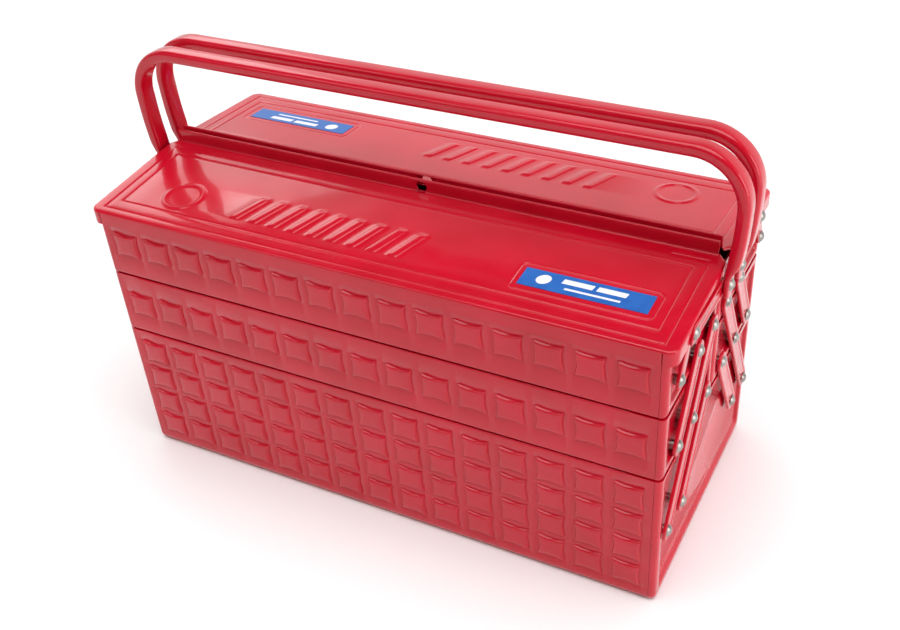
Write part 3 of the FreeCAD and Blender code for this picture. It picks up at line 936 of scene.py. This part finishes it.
def plated_steel():
    """Dull zinc plate of the rivets, with a fine tumbled grain and darker patches."""
    material, nodes, links, shader = new_material("plated_steel")
    place = nodes.new("ShaderNodeTexCoord").outputs["Object"]
    tone = add_noise(nodes, links, place, 260.0, 4.0, 0.6)
    colour = add_ramp(nodes, links, tone.outputs["Fac"],
                      (0.22, 0.20, 0.185, 1), (0.45, 0.425, 0.40, 1), 0.3, 0.7)
    links.new(colour.outputs["Color"], shader.inputs["Base Color"])
    rough = add_range(nodes, links, tone.outputs["Fac"], 0.2, 0.42)
    links.new(rough.outputs["Result"], shader.inputs["Roughness"])
    grain = add_noise(nodes, links, place, 2400.0, 2.0)
    bump = add_bump(nodes, links, grain.outputs["Fac"], 0.00003, 0.5)
    links.new(bump.outputs["Normal"], shader.inputs["Normal"])
    shader.inputs["Metallic"].default_value = 1.0
    return material


def maths(nodes, links, operation, a, b=0.0):
    node = nodes.new("ShaderNodeMath")
    node.operation = operation
    for socket, value in zip(node.inputs, (a, b)):
        if isinstance(value, (int, float)):
            socket.default_value = value
        else:
            links.new(value, socket)
    return node.outputs["Value"]


def inside_bar(nodes, links, along, across, centre, half):
    """1 inside a rectangle in the label's own plane, 0 outside."""
    dx = maths(nodes, links, "ABSOLUTE", maths(nodes, links, "SUBTRACT", along, centre[0]))
    dy = maths(nodes, links, "ABSOLUTE", maths(nodes, links, "SUBTRACT", across, centre[1]))
    in_x = maths(nodes, links, "LESS_THAN", dx, half[0])
    in_y = maths(nodes, links, "LESS_THAN", dy, half[1])
    return maths(nodes, links, "MULTIPLY", in_x, in_y)


def label_ink(nodes, links, place, sign):
    """1 on the label's plain dot and bars, 0 elsewhere. All of them slant along the label."""
    split = nodes.new("ShaderNodeSeparateXYZ")
    links.new(place, split.inputs["Vector"])
    along = maths(nodes, links, "MULTIPLY", split.outputs["X"], sign / MM)
    across = maths(nodes, links, "MULTIPLY", split.outputs["Y"], sign / MM)
    slant = maths(nodes, links, "MULTIPLY", across, LABEL_SLANT)
    along = maths(nodes, links, "SUBTRACT", along, slant)
    shift = -LABEL_SLANT * LABEL_MIDDLE_Y
    dx = maths(nodes, links, "SUBTRACT", along, LABEL_DOT_X + shift)
    dy = maths(nodes, links, "SUBTRACT", across, LABEL_MIDDLE_Y)
    square = maths(nodes, links, "ADD", maths(nodes, links, "MULTIPLY", dx, dx),
                   maths(nodes, links, "MULTIPLY", dy, dy))
    ink = maths(nodes, links, "LESS_THAN", square, LABEL_DOT_R ** 2)
    for (x, y), half in LABEL_BARS:
        bar = inside_bar(nodes, links, along, across, (x + shift, y), half)
        ink = maths(nodes, links, "MAXIMUM", ink, bar)
    return ink


def printed_label(name, sign):
    """Blue label with plain white printing. A sign of -1 turns it round for the rear lid."""
    material, nodes, links, shader = new_material(name)
    place = nodes.new("ShaderNodeTexCoord").outputs["Object"]
    tone = add_noise(nodes, links, place, 150.0, 3.0)
    blue = add_ramp(nodes, links, tone.outputs["Fac"],
                    (0.002, 0.115, 0.46, 1), (0.004, 0.14, 0.52, 1), 0.35, 0.65)
    mix = nodes.new("ShaderNodeMix")
    mix.data_type = "RGBA"
    links.new(label_ink(nodes, links, place, sign), mix.inputs["Factor"])
    links.new(blue.outputs["Color"], mix.inputs["A"])
    mix.inputs["B"].default_value = (0.86, 0.88, 0.9, 1)
    links.new(mix.outputs["Result"], shader.inputs["Base Color"])
    rough = add_range(nodes, links, tone.outputs["Fac"], 0.3, 0.42)
    links.new(rough.outputs["Result"], shader.inputs["Roughness"])
    ripple = add_noise(nodes, links, place, 90.0, 2.0)
    bump = add_bump(nodes, links, ripple.outputs["Fac"], 0.0002, 0.3)
    links.new(bump.outputs["Normal"], shader.inputs["Normal"])
    return material


ENAMEL = red_enamel()
STEEL = plated_steel()


# ---- pieces -------------------------------------------------------------
def swapped(end, rear):
    """The rear half's right-hand pieces are the front's left-hand ones, turned."""
    if not rear:
        return end
    return "left" if end == "right" else "right"


def enamelled(node, skin, body, **options):
    """Makes the red piece that stands for a CAD node."""
    make_piece(node + "_skin", skin, node, body, "red_enamel", ENAMEL, **options)


def build_base():
    """The fixed base: its folded sheet and both end plates."""
    shell = tray_shell(-HALF_DEPTH, HALF_DEPTH, 0.0, BASE_HEIGHT, BASE_BEND, BASE_PADS, BASE_PADS)
    enamelled("base_shell", shell, "base", thickness=SHEET, edge=SHEET_EDGE)
    end = tray_end(-HALF_DEPTH, HALF_DEPTH, 0.0, BASE_HEIGHT, BASE_BEND, BASE_DISH_SLOPE)
    for name in ("right", "left"):
        enamelled("base_end_" + name, end, "base",
                  thickness=SHEET, edge=SHEET_EDGE, left=name == "left")


def build_half(side):
    """One half's trays, links, lid and handle."""
    rear = side == "rear"
    start = side + "_"
    levels = {"mid_tray": (MID_TRAY, MID_PADS), "top_tray": (TOP_TRAY, TOP_PADS)}
    for tray, ((z0, z1), pads) in levels.items():
        shell = tray_shell(-HALF_DEPTH, -HALF_GAP, z0, z1, TRAY_BEND, pads, ())
        enamelled(start + tray + "_shell", shell, start + tray,
                  thickness=SHEET, edge=SHEET_EDGE, rear=rear)
        end = tray_end(-HALF_DEPTH, -HALF_GAP, z0, z1, TRAY_BEND, TRAY_DISH_SLOPE)
        for name in ("right", "left"):
            enamelled(start + tray + "_end_" + swapped(name, rear), end, start + tray,
                      thickness=SHEET, edge=SHEET_EDGE, left=name == "left", rear=rear)
    links = {
        "long_link": (channel_link(BASE_OUTER, TOP_INNER), "long_links"),
        "lower_link": (channel_link(BASE_INNER, MID_INNER), "lower_links"),
        "upper_link": (channel_link(MID_OUTER, TOP_OUTER), "upper_links"),
    }
    plates = {
        "lid_hinge_arm": plate(*HINGE_ARM_X, hinge_arm_outline),
        "handle_bracket": plate(*BRACKET_X, bracket_outline, BRACKET_WEB),
    }
    for name in ("right", "left"):
        options = {"left": name == "left", "rear": rear}
        end = "_" + swapped(name, rear)
        for link, (skin, body) in links.items():
            enamelled(start + link + end, skin, start + body,
                      thickness=SHEET, edge=LINK_EDGE, **options)
        for arm, skin in plates.items():
            enamelled(start + arm + end, skin, start + "lid", **options)
    enamelled(start + "lid_panel", lid_panel(), start + "lid",
              thickness=SHEET, edge=SHEET_EDGE, even=False, rear=rear)
    enamelled(start + "handle", handle(), start + "handle", rear=rear)


build_base()
for half_name in ("front", "rear"):
    build_half(half_name)

for node_name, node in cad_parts.items():
    if node_name.endswith("rivets"):
        finish = STEEL
    elif node_name == "front_lid_label":
        finish = printed_label("front_label_print", 1.0)
    elif node_name == "rear_lid_label":
        finish = printed_label("rear_label_print", -1.0)
    else:
        continue
    for slot_index in range(len(node.material_slots)):
        node.material_slots[slot_index].material = finish


# ---- stage --------------------------------------------------------------
def add_floor():
    mesh = bpy.data.meshes.new("floor")
    half = FLOOR_HALF
    corners = [(-half, -half, 0), (half, -half, 0), (half, half, 0), (-half, half, 0)]
    mesh.from_pydata(corners, [], [(0, 1, 2, 3)])
    floor = bpy.data.objects.new("floor", mesh)
    bpy.context.collection.objects.link(floor)
    material, nodes, links, shader = new_material("pale_floor")
    place = nodes.new("ShaderNodeTexCoord").outputs["Object"]
    tone = add_noise(nodes, links, place, 3.0, 2.0)
    colour = add_ramp(nodes, links, tone.outputs["Fac"],
                      (0.93, 0.93, 0.93, 1), (0.95, 0.95, 0.95, 1), 0.3, 0.7)
    links.new(colour.outputs["Color"], shader.inputs["Base Color"])
    shader.inputs["Roughness"].default_value = 0.85
    mesh.materials.append(material)


def add_area_light(name, place, target, size, power):
    light = bpy.data.lights.new(name, "AREA")
    light.shape = "RECTANGLE"
    light.size = size[0]
    light.size_y = size[1]
    light.energy = power
    lamp = bpy.data.objects.new(name, light)
    bpy.context.collection.objects.link(lamp)
    lamp.location = place
    lamp.rotation_mode = "QUATERNION"
    lamp.rotation_quaternion = (Vector(target) - Vector(place)).to_track_quat("-Z", "Y")


def add_camera():
    data = bpy.data.cameras.new("camera")
    data.sensor_width = 36.0
    data.lens = LENS
    data.shift_x, data.shift_y = SHIFT
    data.clip_start = 0.05
    data.clip_end = 50.0
    camera = bpy.data.objects.new("camera", data)
    bpy.context.collection.objects.link(camera)
    turn = Matrix((CAMERA_RIGHT, CAMERA_UP, CAMERA_BACK)).transposed()
    camera.matrix_world = Matrix.Translation(CAMERA_PLACE) @ turn.to_4x4()
    bpy.context.scene.camera = camera


def add_world():
    """Plain white backdrop, which lights the box more from behind and beside than from elsewhere."""
    world = bpy.data.worlds.new("studio")
    bpy.context.scene.world = world
    world.use_nodes = True
    nodes = world.node_tree.nodes
    links = world.node_tree.links
    split = nodes.new("ShaderNodeSeparateXYZ")
    links.new(nodes.new("ShaderNodeTexCoord").outputs["Generated"], split.inputs["Vector"])
    height = add_ramp(nodes, links, split.outputs["Z"],
                      (1, 1, 1, 1), (CEILING, CEILING, CEILING, 1), *CEILING_FADE)
    depth = nodes.new("ShaderNodeMapRange")
    depth.interpolation_type = "SMOOTHSTEP"
    depth.inputs["From Min"].default_value = FRONT_FADE[0]
    depth.inputs["From Max"].default_value = FRONT_FADE[1]
    depth.inputs["To Min"].default_value = FRONT_DIM
    depth.inputs["To Max"].default_value = BACKDROP
    links.new(split.outputs["Y"], depth.inputs["Value"])
    background = nodes["Background"]
    links.new(height.outputs["Color"], background.inputs["Color"])
    links.new(depth.outputs["Result"], background.inputs["Strength"])
    plain = nodes.new("ShaderNodeBackground")
    plain.inputs["Color"].default_value = (1, 1, 1, 1)
    mix = nodes.new("ShaderNodeMixShader")
    links.new(nodes.new("ShaderNodeLightPath").outputs["Is Camera Ray"], mix.inputs["Fac"])
    links.new(background.outputs["Background"], mix.inputs[1])
    links.new(plain.outputs["Background"], mix.inputs[2])
    links.new(mix.outputs["Shader"], nodes["World Output"].inputs["Surface"])


def add_sun(direction, strength, spread_angle):
    """Even overhead light, as from a large soft ceiling bank."""
    light = bpy.data.lights.new("overhead", "SUN")
    light.energy = strength
    light.angle = math.radians(spread_angle)
    lamp = bpy.data.objects.new("overhead", light)
    bpy.context.collection.objects.link(lamp)
    lamp.rotation_mode = "QUATERNION"
    lamp.rotation_quaternion = (-Vector(direction)).to_track_quat("-Z", "Y")


add_floor()
add_world()
add_sun(*SUN)
for area_light in AREA_LIGHTS:
    add_area_light(*area_light)
add_camera()
bpy.context.scene.view_settings.view_transform = "Standard"
